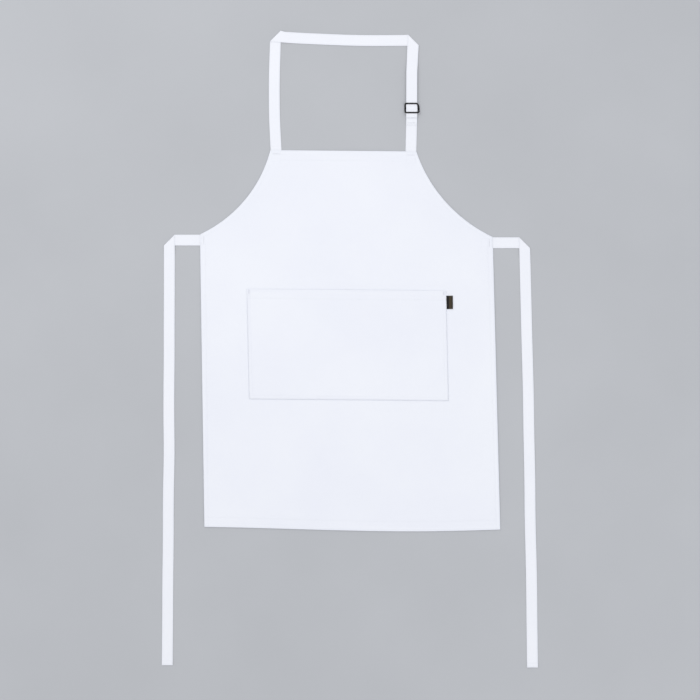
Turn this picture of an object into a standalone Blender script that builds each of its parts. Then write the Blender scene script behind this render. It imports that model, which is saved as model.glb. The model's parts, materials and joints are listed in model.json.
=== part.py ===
"""Butcher apron: a white twill bib apron with one patch pocket, long waist ties, a sewn-in side
label and a neck strap that a metal slider shortens. It lies flat on its back: +Y points to the
neck, +X to the viewer's right, +Z up, and the origin is under the middle of its outline."""

from math import cos, pi, sin, sqrt

import bmesh
import bpy
from mathutils import Vector

MM = 0.001

# Layers. Every piece of cloth or tape is one thickness, and touching layers keep a gap.
CLOTH = 0.7 * MM
GAP = 0.3 * MM
LAYER = CLOTH + GAP
BACK = 0.0
PANEL = BACK + LAYER
POCKET_LINING = PANEL + LAYER
POCKET = POCKET_LINING + LAYER
THREAD = 0.4 * MM

# Body panel: a symmetric pattern about X = 0.
BIB_TOP = 472.0 * MM
BIB_HALF = 173.6 * MM
WAIST_TOP = 269.5 * MM
WAIST_HALF = 348.5 * MM
HEM = -427.0 * MM
HEM_HALF = 352.2 * MM
ARMHOLE_TOP_HANDLE = (30.0 * MM, -100.0 * MM)
ARMHOLE_WAIST_HANDLE = (-75.0 * MM, 36.0 * MM)
ARMHOLE_STEPS = 18
HEM_BELLY = 6.5 * MM
HEM_BELLY_SKEW = 1.5
HEM_STEPS = 14

# How the soft cloth lies: its centre line leans and curves a little, and its right side lies lower.
LAY_SHIFT = -0.9 * MM
LAY_LEAN = -0.0230
LAY_CURVE = -0.0167
LAY_SLANT = 0.009

# Turned hems.
BIB_HEM = 25.0 * MM
BOTTOM_HEM = 24.0 * MM
SIDE_HEM = 14.0 * MM
ARMHOLE_HEM = 10.0 * MM

# Patch pocket.
POCKET_RIGHT = 233.6 * MM
POCKET_WIDTH = 475.0 * MM
POCKET_TOP = 140.6 * MM
POCKET_DEPTH = 262.0 * MM
POCKET_HEM = 25.0 * MM
POCKET_TURN = 10.0 * MM

# Tapes: neck strap, buckle strap and waist ties.
TAPE = 26.0 * MM
SEWN_LENGTH = 30.0 * MM

# Neck strap.
NECK_FOLD_Z = 1.5 * MM
NECK_START = 1.4 * MM
NECK_LEFT_BOTTOM_X = -176.1 * MM
NECK_LEFT_TOP_X = -177.4 * MM
NECK_LEFT_BOW = -3.2 * MM
NECK_RIGHT_TOP_X = 151.2 * MM
NECK_TOP_LEFT_Y = 745.9 * MM
NECK_TOP_RIGHT_Y = 736.6 * MM
NECK_TOP_BOW = -4.0 * MM
STRAP_STEPS = 10
STRAP_THROUGH_SLIDER = 3.5 * MM
STRAP_OFF_SLIDER = -0.8 * MM
STRAIGHT_ABOVE_SLIDER = 85.0 * MM
TAIL_BELOW_SLIDER = 10.0 * MM

# Strap slider: a frame bowed so that its centre bar lies behind the strap.
SLIDER_X = 148.2 * MM
SLIDER_Y = 574.1 * MM
SLIDER_WIDTH = 36.0 * MM
SLIDER_HEIGHT = 25.0 * MM
SLIDER_BAR = 3.3 * MM
SLIDER_THICK = 1.2 * MM
SLIDER_CORNER = 3.4 * MM
SLIDER_LOW = 1.0 * MM
SLIDER_RISE = 3.5 * MM
SLIDER_EDGE = 0.35 * MM
SLIDER_CORNER_STEPS = 4
SLIDER_SIDE_STEPS = 12

# Buckle strap: from the right bib corner round the slider's centre bar. Its front half is measured
# downward from that bar: it lies level, slopes down onto the back half, and ends below its bartack.
BUCKLE_START_X = 145.1 * MM
BUCKLE_LOOP_PAST_BAR = 1.3 * MM
BUCKLE_LOOP_STEPS = 8
BUCKLE_LEVEL = 15.0 * MM
BUCKLE_SLOPE_END = 26.0 * MM
BUCKLE_BARTACK = 35.0 * MM
BUCKLE_FRONT_END = 40.0 * MM

# Waist ties: a short stub straight out from the side, then a flat fold and a long tail.
TIE_HINGE_OUT = 1.3 * MM
TIE_HINGE_Z = 0.5 * MM
TIE_START = 0.7 * MM
FOLD_Z = CLOTH + GAP / 2
FOLD_CUT = 0.5 * MM
LEFT_TIE = {"side": -1, "fold_x": -430.6, "end_x": -435.7, "end_y": -753.9, "bow": 1.0}
RIGHT_TIE = {"side": 1, "fold_x": 416.8, "end_x": 435.7, "end_y": -759.4, "bow": 2.0}
TIE_DROP_START = 3.0 * MM
TIE_DROP = 25.0 * MM
TIE_STEPS = 12

# Side label, folded and sewn into the pocket's right seam.
LABEL_WIDTH = 15.0 * MM
LABEL_TOP = 126.8 * MM
LABEL_HEIGHT = 31.8 * MM
LABEL_HINGE_Z = 3.3 * MM
LABEL_START = 0.4 * MM

# Bartacks, and how far they sit inside the edges that they hold.
BARTACK = 2.0 * MM
BARTACK_LONG = TAPE - 8.0 * MM
BARTACK_SHORT = 10.0 * MM
BARTACK_INSET = 8.0 * MM
POCKET_BARTACK_INSET = 5.0 * MM

COLOURS = {
    "twill": ((0.86, 0.88, 0.95), 0.85, 0.0),
    "tape": ((0.88, 0.90, 0.95), 0.80, 0.0),
    "thread": ((0.90, 0.91, 0.95), 0.60, 0.0),
    "slider": ((0.030, 0.024, 0.022), 0.35, 0.9),
    "label": ((0.012, 0.011, 0.011), 0.70, 0.0),
}


def clear_scene():
    for obj in list(bpy.data.objects):
        bpy.data.objects.remove(obj)


def make_materials():
    materials = {}
    for name, (colour, roughness, metallic) in COLOURS.items():
        material = bpy.data.materials.new(name)
        material.use_nodes = True
        shader = material.node_tree.nodes["Principled BSDF"]
        shader.inputs["Base Color"].default_value = (*colour, 1.0)
        shader.inputs["Roughness"].default_value = roughness
        shader.inputs["Metallic"].default_value = metallic
        materials[name] = material
    return materials


# ---------------------------------------------------------------- curves and outlines


def mix(a, b, t):
    return a + (b - a) * t


def bowed(a, b, bow, t):
    """From a to b as t goes from 0 to 1, off the straight line by bow at the middle."""
    return mix(a, b, t) + bow * 4 * t * (1 - t)


def smooth(t):
    t = min(max(t, 0.0), 1.0)
    return t * t * (3 - 2 * t)


def lay(x, y):
    """Where a point of the flat symmetric pattern lies in the spread-out cloth."""
    return (x + LAY_SHIFT + LAY_LEAN * y + LAY_CURVE * y * y, y - LAY_SLANT * x)


def armhole(t, side):
    """The pattern's armhole curve, from the bib corner at t = 0 to the waist at t = 1."""
    ends = ((BIB_HALF, BIB_TOP), (WAIST_HALF, WAIST_TOP))
    handles = (
        (ends[0][0] + ARMHOLE_TOP_HANDLE[0], ends[0][1] + ARMHOLE_TOP_HANDLE[1]),
        (ends[1][0] + ARMHOLE_WAIST_HANDLE[0], ends[1][1] + ARMHOLE_WAIST_HANDLE[1]),
    )
    weights = ((1 - t) ** 3, 3 * (1 - t) ** 2 * t, 3 * (1 - t) * t**2, t**3)
    points = (ends[0], handles[0], handles[1], ends[1])
    x = sum(w * p[0] for w, p in zip(weights, points))
    y = sum(w * p[1] for w, p in zip(weights, points))
    return (side * x, y)


def armhole_at_height(y, side):
    """The value of t at which the armhole curve is at height y."""
    low, high = 0.0, 1.0
    for _ in range(40):
        middle = (low + high) / 2
        if armhole(middle, side)[1] > y:
            low = middle
        else:
            high = middle
    return low


def hem_edge(u):
    """The pattern's bottom edge, from left at u = 0 to right at u = 1: it bellies downward."""
    return (mix(-HEM_HALF, HEM_HALF, u), HEM - HEM_BELLY * sin(pi * u**HEM_BELLY_SKEW))


def side_half(y):
    """Half the pattern's width at height y of the skirt."""
    return mix(WAIST_HALF, HEM_HALF, (WAIST_TOP - y) / (WAIST_TOP - HEM))


def laid(points):
    return [lay(x, y) for x, y in points]


def rectangle(left, right, low, high):
    return [(left, low), (right, low), (right, high), (left, high)]


# ---------------------------------------------------------------- solids


def finish_mesh(name, mesh, material):
    data = bpy.data.meshes.new(name)
    bmesh.ops.recalc_face_normals(mesh, faces=mesh.faces)
    mesh.to_mesh(data)
    mesh.free()
    obj = bpy.data.objects.new(name, data)
    obj.data.materials.append(MATERIALS[material])
    bpy.context.scene.collection.objects.link(obj)
    return obj


def slab(name, outline, low, thickness, material):
    """A flat piece with the given outline, in metres, and an even thickness."""
    mesh = bmesh.new()
    under = [mesh.verts.new((x, y, low)) for x, y in outline]
    over = [mesh.verts.new((x, y, low + thickness)) for x, y in outline]
    mesh.faces.new(list(reversed(under)))
    mesh.faces.new(over)
    for i in range(len(outline)):
        j = (i + 1) % len(outline)
        mesh.faces.new((under[i], under[j], over[j], over[i]))
    return finish_mesh(name, mesh, material)


def strip(name, rows, material, thickness=CLOTH):
    """A tape. Each row is its left and right point on the underside, and the way up through it."""
    mesh = bmesh.new()
    rings = []
    for left, right, up in rows:
        lift = Vector(up) * thickness
        corners = (Vector(left), Vector(right), Vector(right) + lift, Vector(left) + lift)
        rings.append([mesh.verts.new(corner) for corner in corners])
    for ring, following in zip(rings, rings[1:]):
        for i in range(4):
            j = (i + 1) % 4
            mesh.faces.new((ring[i], ring[j], following[j], following[i]))
    mesh.faces.new(rings[0])
    mesh.faces.new(rings[-1])
    return finish_mesh(name, mesh, material)


UP = (0.0, 0.0, 1.0)


def flat_row(left, right, low):
    return ((*left, low), (*right, low), UP)


# ---------------------------------------------------------------- body panel and hems


def make_body_panel():
    steps = range(ARMHOLE_STEPS + 1)
    left_armhole = [armhole(i / ARMHOLE_STEPS, -1) for i in steps]
    right_armhole = [armhole(i / ARMHOLE_STEPS, 1) for i in reversed(steps)]
    bottom = [hem_edge(i / HEM_STEPS) for i in range(HEM_STEPS + 1)]
    slab("body_panel", laid(left_armhole + bottom + right_armhole), PANEL, CLOTH, "twill")


def make_bib_hem():
    half = BIB_HALF - TAPE - GAP
    outline = laid(rectangle(-half, half, BIB_TOP - BIB_HEM, BIB_TOP))
    slab("bib_hem", outline, BACK, CLOTH, "twill")


def make_armhole_hem(side, name):
    """A curved strip along the armhole, between the neck strap's and the waist tie's sewn ends."""
    start = armhole_at_height(BIB_TOP - SEWN_LENGTH - 2 * GAP, side)
    stop = armhole_at_height(WAIST_TOP + 2 * GAP, side)
    rows = []
    for i in range(ARMHOLE_STEPS + 1):
        t = mix(start, stop, i / ARMHOLE_STEPS)
        x, y = armhole(t, side)
        ahead_x, ahead_y = armhole(t + 0.001, side)
        along = Vector((ahead_x - x, ahead_y - y)).normalized()
        inward = Vector((along.y * side, -along.x * side))
        inner = (x + inward.x * ARMHOLE_HEM, max(y + inward.y * ARMHOLE_HEM, WAIST_TOP + 2 * GAP))
        rows.append(flat_row(lay(x, y), lay(*inner), BACK))
    strip(name, rows, "twill")


def make_side_hem(side, name):
    top = WAIST_TOP - TAPE - 2 * GAP
    low = HEM + BOTTOM_HEM + 2 * GAP
    outline = laid(
        [
            (side * side_half(low), low),
            (side * side_half(top), top),
            (side * (side_half(top) - SIDE_HEM), top),
            (side * (side_half(low) - SIDE_HEM), low),
        ]
    )
    slab(name, outline, BACK, CLOTH, "twill")


def make_bottom_hem():
    rows = []
    for i in range(HEM_STEPS + 1):
        x, y = hem_edge(i / HEM_STEPS)
        rows.append(flat_row(lay(x, y), lay(x, HEM + BOTTOM_HEM), BACK))
    strip("bottom_hem", rows, "twill")


# ---------------------------------------------------------------- pocket and label


def make_pocket():
    left = POCKET_RIGHT - POCKET_WIDTH
    low = POCKET_TOP - POCKET_DEPTH
    face = laid(rectangle(left, POCKET_RIGHT, low, POCKET_TOP))
    slab("pocket_panel", face, POCKET, CLOTH, "twill")
    hem = laid(rectangle(left, POCKET_RIGHT, POCKET_TOP - POCKET_HEM, POCKET_TOP))
    slab("pocket_hem", hem, POCKET_LINING, CLOTH, "twill")
    top = POCKET_TOP - POCKET_HEM - GAP
    turn = [
        (left, top),
        (left, low),
        (POCKET_RIGHT, low),
        (POCKET_RIGHT, top),
        (POCKET_RIGHT - POCKET_TURN, top),
        (POCKET_RIGHT - POCKET_TURN, low + POCKET_TURN),
        (left + POCKET_TURN, low + POCKET_TURN),
        (left + POCKET_TURN, top),
    ]
    slab("pocket_turned_edge", laid(turn), POCKET_LINING, CLOTH, "twill")


def label_hinge():
    x, y = lay(POCKET_RIGHT, LABEL_TOP - LABEL_HEIGHT / 2)
    return Vector((x + GAP, y, LABEL_HINGE_Z))


def make_label():
    left = label_hinge().x + LABEL_START
    outline = rectangle(left, left + LABEL_WIDTH, LABEL_TOP - LABEL_HEIGHT, LABEL_TOP)
    slab("side_label", outline, POCKET_LINING, CLOTH, "label")


# ---------------------------------------------------------------- neck strap


def neck_hinge(side):
    """The bib corner, where the neck strap folds."""
    x, y = lay(side * BIB_HALF, BIB_TOP)
    return Vector((x, y, NECK_FOLD_Z))


def make_neck_sewn_end(side, name):
    inner = side * (BIB_HALF - TAPE)
    outer = side * BIB_HALF
    outline = rectangle(min(inner, outer), max(inner, outer), BIB_TOP - SEWN_LENGTH, BIB_TOP)
    slab(name, laid(outline), BACK, CLOTH, "tape")


def make_neck_strap_left():
    start = neck_hinge(-1).y + NECK_START
    corner = NECK_TOP_LEFT_Y - TAPE / 2
    rows = []
    for i in range(STRAP_STEPS + 1):
        t = i / STRAP_STEPS
        x = bowed(NECK_LEFT_BOTTOM_X, NECK_LEFT_TOP_X, NECK_LEFT_BOW, t)
        y = mix(start, corner, t)
        rows.append(flat_row((x - TAPE / 2, y), (x + TAPE / 2, y), BACK))
    x = NECK_LEFT_TOP_X
    rows[-1] = flat_row((x - TAPE / 2, corner), (x + TAPE / 2, corner + TAPE), BACK)
    strip("neck_strap_left", rows, "tape")


def make_neck_strap_top():
    """The stretch behind the neck, cut at 45 degrees at both ends where the tape is folded."""
    left = NECK_LEFT_TOP_X - TAPE / 2
    right = NECK_RIGHT_TOP_X + TAPE / 2
    rows = []
    for i in range(STRAP_STEPS + 1):
        t = i / STRAP_STEPS
        x = mix(left, right, t)
        y = bowed(NECK_TOP_LEFT_Y, NECK_TOP_RIGHT_Y, NECK_TOP_BOW, t)
        rows.append(flat_row((x, y - TAPE / 2), (x, y + TAPE / 2), BACK + LAYER))
    high_left = (left + TAPE, NECK_TOP_LEFT_Y + TAPE / 2)
    high_right = (right - TAPE, NECK_TOP_RIGHT_Y + TAPE / 2)
    rows[0] = flat_row((left, NECK_TOP_LEFT_Y - TAPE / 2), high_left, BACK + LAYER)
    rows[-1] = flat_row((right, NECK_TOP_RIGHT_Y - TAPE / 2), high_right, BACK + LAYER)
    strip("neck_strap_top", rows, "tape")


def make_neck_strap_right():
    """The stretch that runs down through the slider. It is straight, so that it can slide there."""
    corner = NECK_TOP_RIGHT_Y - TAPE / 2
    end = SLIDER_Y - SLIDER_HEIGHT / 2 - TAIL_BELOW_SLIDER
    top = NECK_RIGHT_TOP_X
    foot = SLIDER_X + STRAP_OFF_SLIDER
    above_slider = SLIDER_Y + STRAIGHT_ABOVE_SLIDER
    low = STRAP_THROUGH_SLIDER
    rows = [
        flat_row((foot - TAPE / 2, end), (foot + TAPE / 2, end), low),
        flat_row((foot + GAP - TAPE / 2, above_slider), (foot + GAP + TAPE / 2, above_slider), low),
        flat_row((top - TAPE / 2, corner + TAPE), (top + TAPE / 2, corner), low),
    ]
    strip("neck_strap_right", rows, "tape")


def make_buckle_strap():
    """The short tape from the right bib corner: up behind the slider's centre bar, over it and
    back down on itself, where it is sewn."""
    start = neck_hinge(1).y + NECK_START
    loop_y = SLIDER_Y + BUCKLE_LOOP_PAST_BAR
    loop_z = SLIDER_LOW + SLIDER_THICK / 2
    radius = SLIDER_THICK / 2 + GAP
    front_end = SLIDER_Y - BUCKLE_FRONT_END
    rows = [
        ((start, BACK), (0.0, 1.0)),
        ((mix(start, loop_y, 0.5), BACK), (0.0, 1.0)),
    ]
    for i in range(BUCKLE_LOOP_STEPS + 1):
        angle = -pi / 2 + pi * i / BUCKLE_LOOP_STEPS
        out = (cos(angle), sin(angle))
        outer = radius + CLOTH
        rows.append(((loop_y + outer * out[0], loop_z + outer * out[1]), (-out[0], -out[1])))
    front = loop_z + radius + CLOTH
    rows += [
        ((SLIDER_Y - BUCKLE_LEVEL, front), (0.0, -1.0)),
        ((SLIDER_Y - BUCKLE_SLOPE_END, BACK + LAYER + CLOTH), (0.0, -1.0)),
        ((front_end, BACK + LAYER + CLOTH), (0.0, -1.0)),
    ]
    tape_rows = []
    for (y, z), (up_y, up_z) in rows:
        x = mix(BUCKLE_START_X, SLIDER_X, (y - start) / (SLIDER_Y - start))
        tape_rows.append(((x - TAPE / 2, y, z), (x + TAPE / 2, y, z), (0.0, up_y, up_z)))
    strip("buckle_strap", tape_rows, "tape")


def rounded_rectangle(half_x, half_y, radius):
    """Points and outward directions around a rectangle with round corners, anticlockwise."""
    corners = ((1, 1, 0), (-1, 1, 1), (-1, -1, 2), (1, -1, 3))
    points = []
    for sx, sy, quarter in corners:
        centre = (sx * (half_x - radius), sy * (half_y - radius))
        for i in range(SLIDER_CORNER_STEPS + 1):
            angle = (quarter + i / SLIDER_CORNER_STEPS) * pi / 2
            out = (cos(angle), sin(angle))
            points.append(((centre[0] + radius * out[0], centre[1] + radius * out[1]), out))
        if sx == -1 and sy == 1:
            points += side_points(-half_x, half_y - radius, radius - half_y, -1)
        if sx == 1 and sy == -1:
            points += side_points(half_x, radius - half_y, half_y - radius, 1)
    return points


def side_points(x, start, stop, out_x):
    shares = [i / SLIDER_SIDE_STEPS for i in range(1, SLIDER_SIDE_STEPS)]
    return [((x, mix(start, stop, t)), (out_x, 0.0)) for t in shares]


def slider_height(y):
    """How far the slider's frame rises above its centre bar at distance y from that bar."""
    flat = SLIDER_BAR
    end = SLIDER_HEIGHT / 2 - SLIDER_BAR
    return SLIDER_LOW + SLIDER_RISE * smooth((abs(y) - flat) / (end - flat))


def bar_section(width, height, bevel):
    """A bar's cross-section with its edges taken off, anticlockwise from its lower right."""
    x, z = width / 2, height / 2
    return [
        (x - bevel, -z),
        (x, -z + bevel),
        (x, z - bevel),
        (x - bevel, z),
        (-x + bevel, z),
        (-x, z - bevel),
        (-x, -z + bevel),
        (-x + bevel, -z),
    ]


def make_strap_slider():
    section = bar_section(SLIDER_BAR, SLIDER_THICK, SLIDER_EDGE)
    half_x = (SLIDER_WIDTH - SLIDER_BAR) / 2
    half_y = (SLIDER_HEIGHT - SLIDER_BAR) / 2
    path = rounded_rectangle(half_x, half_y, SLIDER_CORNER - SLIDER_BAR / 2)
    mesh = bmesh.new()
    rings = []
    for (x, y), (out_x, out_y) in path:
        middle = slider_height(y) + SLIDER_THICK / 2
        ring = []
        for across, up in section:
            point = (x + across * out_x, y + across * out_y, middle + up)
            ring.append(mesh.verts.new(point))
        rings.append(ring)
    for i, ring in enumerate(rings):
        following = rings[(i + 1) % len(rings)]
        for a in range(len(section)):
            b = (a + 1) % len(section)
            mesh.faces.new((ring[a], ring[b], following[b], following[a]))
    slider = finish_mesh("strap_slider", mesh, "slider")
    bar = make_slider_bar(half_x)
    union = slider.modifiers.new("centre bar", "BOOLEAN")
    union.operation = "UNION"
    union.solver = "EXACT"
    union.object = bar
    slider.location = (SLIDER_X, SLIDER_Y, 0.0)
    bar.location = slider.location


def make_slider_bar(half_x):
    """The centre bar, a little thinner than the frame that it is joined to."""
    thin = 0.05 * MM
    section = bar_section(SLIDER_BAR, SLIDER_THICK - 2 * thin, SLIDER_EDGE)
    mesh = bmesh.new()
    ends = []
    for x in (-half_x, half_x):
        middle = SLIDER_LOW + SLIDER_THICK / 2
        ends.append([mesh.verts.new((x, y, middle + z)) for y, z in section])
    for a in range(len(section)):
        b = (a + 1) % len(section)
        mesh.faces.new((ends[0][a], ends[0][b], ends[1][b], ends[1][a]))
    mesh.faces.new(ends[0])
    mesh.faces.new(ends[1])
    bar = finish_mesh("slider_bar_guide", mesh, "slider")
    bar.hide_render = True
    bar.display_type = "WIRE"
    return bar


# ---------------------------------------------------------------- waist ties


def tie_middle_y(tie):
    """The height of the middle of the tie's stub: its top edge runs on from the armhole."""
    return lay(tie["side"] * WAIST_HALF, WAIST_TOP)[1] - TAPE / 2


def tie_hinge(tie):
    x = lay(tie["side"] * WAIST_HALF, WAIST_TOP)[0]
    return Vector((x + tie["side"] * TIE_HINGE_OUT, tie_middle_y(tie), TIE_HINGE_Z))


def tie_fold(tie):
    """The middle of the flat fold's crease."""
    return Vector((tie["fold_x"] * MM, tie_middle_y(tie), FOLD_Z))


def make_tie_sewn_end(tie, name):
    side = tie["side"]
    top = WAIST_TOP
    low = WAIST_TOP - TAPE
    inner = side * (WAIST_HALF - SEWN_LENGTH)
    outline = laid([(inner, low), (side * side_half(low), low), (side * WAIST_HALF, top), (inner, top)])
    slab(name, outline, BACK, CLOTH, "tape")


def make_tie_stub(tie, name):
    side = tie["side"]
    start = tie_hinge(tie).x + side * TIE_START
    middle = tie_middle_y(tie)
    fold = tie["fold_x"] * MM
    cut = side * FOLD_CUT * sqrt(2)
    high = (fold - side * TAPE / 2 - cut, middle + TAPE / 2)
    low = (fold + side * TAPE / 2 - cut, middle - TAPE / 2)
    rows = [
        flat_row((start, middle - TAPE / 2), (start, middle + TAPE / 2), BACK),
        flat_row(low, high, BACK),
    ]
    strip(name, rows, "tape")


def make_tie_tail(tie, name):
    """The long run of the tie: on top of the stub at the fold, then down onto the surface."""
    side = tie["side"]
    middle = tie_middle_y(tie)
    fold = tie["fold_x"] * MM
    corner = middle - TAPE / 2
    drop_start = corner - TIE_DROP_START
    end = tie["end_y"] * MM
    cut = FOLD_CUT * sqrt(2)
    outer = (fold + side * TAPE / 2, corner - cut)
    inner = (fold - side * TAPE / 2, corner + TAPE - cut)
    rows = [flat_row(outer, inner, LAYER), flat_row(*tie_ends(tie, drop_start), LAYER)]
    for i in range(TIE_STEPS + 1):
        y = mix(drop_start - TIE_DROP, end, i / TIE_STEPS)
        rows.append(flat_row(*tie_ends(tie, y), BACK))
    strip(name, rows, "tape")


def tie_ends(tie, y):
    """The tail's outer and inner edge at height y."""
    side = tie["side"]
    top = tie_middle_y(tie)
    t = (top - y) / (top - tie["end_y"] * MM)
    x = bowed(tie["fold_x"] * MM, tie["end_x"] * MM, tie["bow"] * MM, t)
    return (x + side * TAPE / 2, y), (x - side * TAPE / 2, y)


# ---------------------------------------------------------------- bartacks


def make_bartack(name, x, y, width, height, low):
    """A short bar of dense stitches that holds a seam's end."""
    outline = rectangle(x - width / 2, x + width / 2, y - height / 2, y + height / 2)
    slab(name, outline, low, THREAD, "thread")


def make_bartacks():
    on_panel = PANEL + LAYER
    on_pocket = POCKET + LAYER
    for side, word in ((-1, "left"), (1, "right")):
        x, y = lay(side * (BIB_HALF - TAPE / 2), BIB_TOP - BARTACK_INSET)
        make_bartack(f"bartack_neck_{word}", x, y, BARTACK_LONG, BARTACK, on_panel)
        x, y = lay(side * (WAIST_HALF - BARTACK_INSET), WAIST_TOP - TAPE / 2)
        make_bartack(f"bartack_tie_{word}", x, y, BARTACK, BARTACK_LONG, on_panel)
    pocket_sides = (
        ("left", POCKET_RIGHT - POCKET_WIDTH + POCKET_BARTACK_INSET),
        ("right", POCKET_RIGHT - POCKET_BARTACK_INSET),
    )
    for word, inset_x in pocket_sides:
        x, y = lay(inset_x, POCKET_TOP - BARTACK_SHORT / 2 - GAP)
        make_bartack(f"bartack_pocket_{word}", x, y, BARTACK, BARTACK_SHORT, on_pocket)
    start = neck_hinge(1).y + NECK_START
    y = SLIDER_Y - BUCKLE_BARTACK
    x = mix(BUCKLE_START_X, SLIDER_X, (y - start) / (SLIDER_Y - start))
    make_bartack("bartack_buckle_strap", x, y, BARTACK_LONG, BARTACK, BACK + 2 * LAYER)


# ---------------------------------------------------------------- bodies


def hang(names, pivot, pivot_name, parent=None):
    """Parent the named pieces to an empty on their joint's axis, without moving them."""
    empty = bpy.data.objects.new(pivot_name, None)
    empty.location = pivot if parent is None else pivot - parent.matrix_world.translation
    empty.parent = parent
    bpy.context.scene.collection.objects.link(empty)
    bpy.context.view_layer.update()
    for name in names:
        obj = bpy.data.objects[name]
        obj.location = obj.location - pivot
        obj.parent = empty
    return empty


clear_scene()
MATERIALS = make_materials()
make_body_panel()
make_bib_hem()
make_bottom_hem()
for side_sign, side_word in ((-1, "left"), (1, "right")):
    make_armhole_hem(side_sign, f"armhole_hem_{side_word}")
    make_side_hem(side_sign, f"side_hem_{side_word}")
make_pocket()
make_label()
make_neck_sewn_end(-1, "neck_strap_sewn_end")
make_neck_sewn_end(1, "buckle_strap_sewn_end")
make_neck_strap_left()
make_neck_strap_top()
make_neck_strap_right()
make_buckle_strap()
make_strap_slider()
for tie_sizes, side_word in ((LEFT_TIE, "left"), (RIGHT_TIE, "right")):
    make_tie_sewn_end(tie_sizes, f"waist_tie_{side_word}_sewn_end")
    make_tie_stub(tie_sizes, f"waist_tie_{side_word}_stub")
    make_tie_tail(tie_sizes, f"waist_tie_{side_word}_tail")
make_bartacks()

neck_pivot = (neck_hinge(-1) + neck_hinge(1)) / 2
loop_names = ["neck_strap_left", "buckle_strap", "strap_slider", "slider_bar_guide", "bartack_buckle_strap"]
loop_empty = hang(loop_names, neck_pivot, "neck_fold_axis")
hang(["neck_strap_top", "neck_strap_right"], neck_pivot, "neck_adjust_axis", loop_empty)
hang(["side_label"], label_hinge(), "label_flip_axis")
for tie_sizes, side_word in ((LEFT_TIE, "left"), (RIGHT_TIE, "right")):
    stub_empty = hang([f"waist_tie_{side_word}_stub"], tie_hinge(tie_sizes), f"tie_{side_word}_fold_axis")
    tail_pivot = tie_fold(tie_sizes)
    hang([f"waist_tie_{side_word}_tail"], tail_pivot, f"tie_{side_word}_unfold_axis", stub_empty)
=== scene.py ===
import json
from math import cos, exp, pi, sin

import bpy
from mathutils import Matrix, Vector, noise


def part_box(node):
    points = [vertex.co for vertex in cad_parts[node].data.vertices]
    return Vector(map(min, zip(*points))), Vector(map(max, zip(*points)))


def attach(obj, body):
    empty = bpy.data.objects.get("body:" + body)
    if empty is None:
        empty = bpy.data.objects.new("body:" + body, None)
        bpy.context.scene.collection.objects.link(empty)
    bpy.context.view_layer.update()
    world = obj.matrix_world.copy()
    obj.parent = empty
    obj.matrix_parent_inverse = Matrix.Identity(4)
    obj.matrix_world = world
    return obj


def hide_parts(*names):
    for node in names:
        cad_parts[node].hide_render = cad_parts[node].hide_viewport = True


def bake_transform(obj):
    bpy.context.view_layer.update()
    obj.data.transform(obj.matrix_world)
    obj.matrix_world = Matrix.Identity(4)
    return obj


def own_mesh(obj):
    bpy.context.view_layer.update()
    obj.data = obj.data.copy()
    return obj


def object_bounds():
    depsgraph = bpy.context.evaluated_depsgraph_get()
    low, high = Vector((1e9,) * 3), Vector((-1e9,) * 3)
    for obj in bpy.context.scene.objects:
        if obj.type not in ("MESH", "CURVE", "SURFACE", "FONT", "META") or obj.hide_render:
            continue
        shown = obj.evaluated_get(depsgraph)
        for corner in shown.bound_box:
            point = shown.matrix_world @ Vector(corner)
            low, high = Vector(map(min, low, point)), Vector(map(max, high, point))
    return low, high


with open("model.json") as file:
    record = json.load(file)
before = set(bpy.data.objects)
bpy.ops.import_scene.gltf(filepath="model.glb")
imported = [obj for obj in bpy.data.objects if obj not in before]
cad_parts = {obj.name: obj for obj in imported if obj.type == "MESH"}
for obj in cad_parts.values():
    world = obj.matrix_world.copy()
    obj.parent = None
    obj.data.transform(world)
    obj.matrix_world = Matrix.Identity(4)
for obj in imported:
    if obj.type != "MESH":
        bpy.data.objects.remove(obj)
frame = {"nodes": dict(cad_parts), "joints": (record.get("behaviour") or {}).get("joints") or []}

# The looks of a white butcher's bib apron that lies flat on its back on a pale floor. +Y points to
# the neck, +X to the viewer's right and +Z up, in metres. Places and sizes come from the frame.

MM = 0.001
CAD_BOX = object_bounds()
UP = Vector((0, 0, 1))
JOINTS = {joint["name"]: joint for joint in frame["joints"]}


# ---- small helpers


def mix(a, b, t):
    return a + (b - a) * t


def smooth(t):
    t = min(max(t, 0.0), 1.0)
    return t * t * (3 - 2 * t)


def even(start, stop, count):
    """count + 1 evenly spaced values, from start to stop."""
    return [mix(start, stop, i / count) for i in range(count + 1)]


def pivot(joint):
    return Vector(JOINTS[joint]["pos_m"])


def level(node):
    """The height of the middle of a flat node."""
    low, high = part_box(node)
    return (low.z + high.z) / 2


def middle(node):
    low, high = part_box(node)
    return (low + high) / 2


def through(points, t):
    """A point on the smooth (Catmull-Rom) curve through these points: t is 0 at the first, 1 at the last."""
    place = min(max(t, 0.0), 1.0) * (len(points) - 1)
    i = min(int(place), len(points) - 2)
    f = place - i
    a, b, c, d = (points[min(max(i + k, 0), len(points) - 1)] for k in (-1, 0, 1, 2))
    bend = 2 * a - 5 * b + 4 * c - d
    twist = 3 * b - a - 3 * c + d
    return 0.5 * (2 * b + (c - a) * f + bend * f**2 + twist * f**3)


# ---- sizes that the frame gives


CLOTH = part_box("body_panel")[1].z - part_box("body_panel")[0].z
HALF_CLOTH = CLOTH / 2
PANEL_Z = level("body_panel")
HEM_Z = level("bottom_hem")
LAYER = PANEL_Z - HEM_Z
# Sewn down, the pocket's two layers have no gaps under them.
POCKET_Z = level("pocket_panel") - 2 * (LAYER - CLOTH)
POCKET_TURN_Z = level("pocket_turned_edge") - (LAYER - CLOTH)
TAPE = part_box("waist_tie_left_stub")[1].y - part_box("waist_tie_left_stub")[0].y


def outline(node):
    """The corner points of a node, seen from above, from left to right."""
    points = {(round(v.co.x, 5), round(v.co.y, 5)) for v in frame["nodes"][node].data.vertices}
    return [Vector(point) for point in sorted(points)]


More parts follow.
